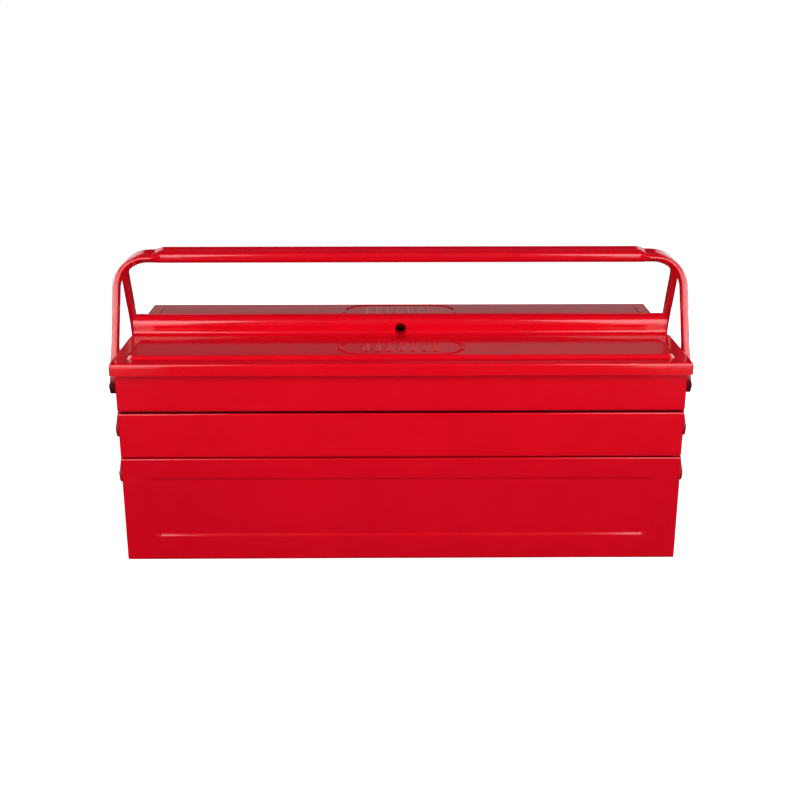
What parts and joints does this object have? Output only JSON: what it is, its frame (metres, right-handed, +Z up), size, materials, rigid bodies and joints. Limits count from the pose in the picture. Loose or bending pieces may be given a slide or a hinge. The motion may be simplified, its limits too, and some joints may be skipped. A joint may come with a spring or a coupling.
{
  "type": "cantilever tool box",
  "caption": "Steel cantilever tool box with a base, stepped swing-out trays on link arms, hinged lids with a lock ridge, and folding tube handles.",
  "frame": {"origin": "middle of the base's underside, on the surface it stands on", "axes": "+X along the box towards its right end, +Z up, the front faces -Y"},
  "size_m": [0.5648, 0.23, 0.284],
  "materials": {
    "base_enamel": "glossy powder coat",
    "tray_enamel": "glossy powder coat",
    "lid_enamel": "glossy powder coat",
    "handle_enamel": "glossy powder coat",
    "arm_enamel": "glossy powder coat, worn at the rivets",
    "hardware_enamel": "glossy powder coat over rivet heads and hinge leaves",
    "zinc_steel": "zinc plated"
  },
  "bodies": {
    "base": {"base_shell": "base_enamel", "base_end_left": "base_enamel", "base_end_right": "base_enamel", "base_rivets": "hardware_enamel", "base_washers": "zinc_steel"},
    "front_long_arms": {"front_long_arm_left": "arm_enamel", "front_long_arm_right": "arm_enamel"},
    "front_lower_arms": {"front_lower_arm_left": "arm_enamel", "front_lower_arm_right": "arm_enamel"},
    "front_lower_tray": {"front_lower_tray": "tray_enamel", "front_lower_tray_rivets": "hardware_enamel", "front_lower_tray_washers": "zinc_steel"},
    "front_upper_tray": {"front_upper_tray": "tray_enamel", "front_upper_tray_rivets": "hardware_enamel", "front_upper_tray_washers": "zinc_steel", "front_handle_pivots": "hardware_enamel", "front_hinge_tray_leaf": "hardware_enamel", "front_hinge_pin": "zinc_steel"},
    "front_handle": {"front_handle": "handle_enamel", "front_handle_rivets": "hardware_enamel", "front_handle_bushes": "zinc_steel", "front_upper_arm_left": "arm_enamel", "front_upper_arm_right": "arm_enamel"},
    "front_lid": {"front_lid": "lid_enamel", "front_hinge_lid_leaf": "hardware_enamel"},
    "rear_long_arms": {"rear_long_arm_left": "arm_enamel", "rear_long_arm_right": "arm_enamel"},
    "rear_lower_arms": {"rear_lower_arm_left": "arm_enamel", "rear_lower_arm_right": "arm_enamel"},
    "rear_lower_tray": {"rear_lower_tray": "tray_enamel", "rear_lower_tray_rivets": "hardware_enamel", "rear_lower_tray_washers": "zinc_steel"},
    "rear_upper_tray": {"rear_upper_tray": "tray_enamel", "rear_upper_tray_rivets": "hardware_enamel", "rear_upper_tray_washers": "zinc_steel", "rear_handle_pivots": "hardware_enamel", "rear_hinge_tray_leaf": "hardware_enamel", "rear_hinge_pin": "zinc_steel"},
    "rear_handle": {"rear_handle": "handle_enamel", "rear_handle_rivets": "hardware_enamel", "rear_handle_bushes": "zinc_steel", "rear_upper_arm_left": "arm_enamel", "rear_upper_arm_right": "arm_enamel"},
    "rear_lid": {"rear_lid": "lid_enamel", "rear_hinge_lid_leaf": "hardware_enamel"}
  },
  "joints": [
    {"name": "front_arm_swing", "type": "hinge", "parent": "base", "child": "front_long_arms", "pos_m": [0, -0.098, 0.086], "axis": [1, 0, 0], "range_deg": [0, 87.7]},
    {"name": "front_lower_arm_swing", "type": "hinge", "parent": "base", "child": "front_lower_arms", "pos_m": [0, -0.054, 0.086], "axis": [1, 0, 0], "range_deg": [0, 87.7]},
    {"name": "front_lower_tray_pivot", "type": "hinge", "parent": "front_long_arms", "child": "front_lower_tray", "pos_m": [0, -0.054, 0.1318], "axis": [1, 0, 0], "range_deg": [-87.7, 0]},
    {"name": "front_upper_tray_pivot", "type": "hinge", "parent": "front_long_arms", "child": "front_upper_tray", "pos_m": [0, -0.01, 0.1776], "axis": [1, 0, 0], "range_deg": [-87.7, 0]},
    {"name": "front_handle_swing", "type": "hinge", "parent": "front_upper_tray", "child": "front_handle", "pos_m": [0, -0.054, 0.1776], "axis": [1, 0, 0], "range_deg": [0, 87.7]},
    {"name": "front_lid_hinge", "type": "hinge", "parent": "front_upper_tray", "child": "front_lid", "pos_m": [0, -0.11235, 0.189], "axis": [1, 0, 0], "range_deg": [0, 100]},
    {"name": "rear_arm_swing", "type": "hinge", "parent": "base", "child": "rear_long_arms", "pos_m": [0, 0.098, 0.086], "axis": [-1, 0, 0], "range_deg": [0, 87.7]},
    {"name": "rear_lower_arm_swing", "type": "hinge", "parent": "base", "child": "rear_lower_arms", "pos_m": [0, 0.054, 0.086], "axis": [-1, 0, 0], "range_deg": [0, 87.7]},
    {"name": "rear_lower_tray_pivot", "type": "hinge", "parent": "rear_long_arms", "child": "rear_lower_tray", "pos_m": [0, 0.054, 0.1318], "axis": [-1, 0, 0], "range_deg": [-87.7, 0]},
    {"name": "rear_upper_tray_pivot", "type": "hinge", "parent": "rear_long_arms", "child": "rear_upper_tray", "pos_m": [0, 0.01, 0.1776], "axis": [-1, 0, 0], "range_deg": [-87.7, 0]},
    {"name": "rear_handle_swing", "type": "hinge", "parent": "rear_upper_tray", "child": "rear_handle", "pos_m": [0, 0.054, 0.1776], "axis": [-1, 0, 0], "range_deg": [0, 87.7]},
    {"name": "rear_lid_hinge", "type": "hinge", "parent": "rear_upper_tray", "child": "rear_lid", "pos_m": [0, 0.11235, 0.189], "axis": [-1, 0, 0], "range_deg": [0, 100]}
  ],
  "couplings": [
    {"joint": "front_lower_arm_swing", "follows": "front_arm_swing", "ratio": 1},
    {"joint": "front_lower_tray_pivot", "follows": "front_arm_swing", "ratio": -1},
    {"joint": "front_upper_tray_pivot", "follows": "front_arm_swing", "ratio": -1},
    {"joint": "front_handle_swing", "follows": "front_arm_swing", "ratio": 1},
    {"joint": "rear_lower_arm_swing", "follows": "rear_arm_swing", "ratio": 1},
    {"joint": "rear_lower_tray_pivot", "follows": "rear_arm_swing", "ratio": -1},
    {"joint": "rear_upper_tray_pivot", "follows": "rear_arm_swing", "ratio": -1},
    {"joint": "rear_handle_swing", "follows": "rear_arm_swing", "ratio": 1}
  ]
}
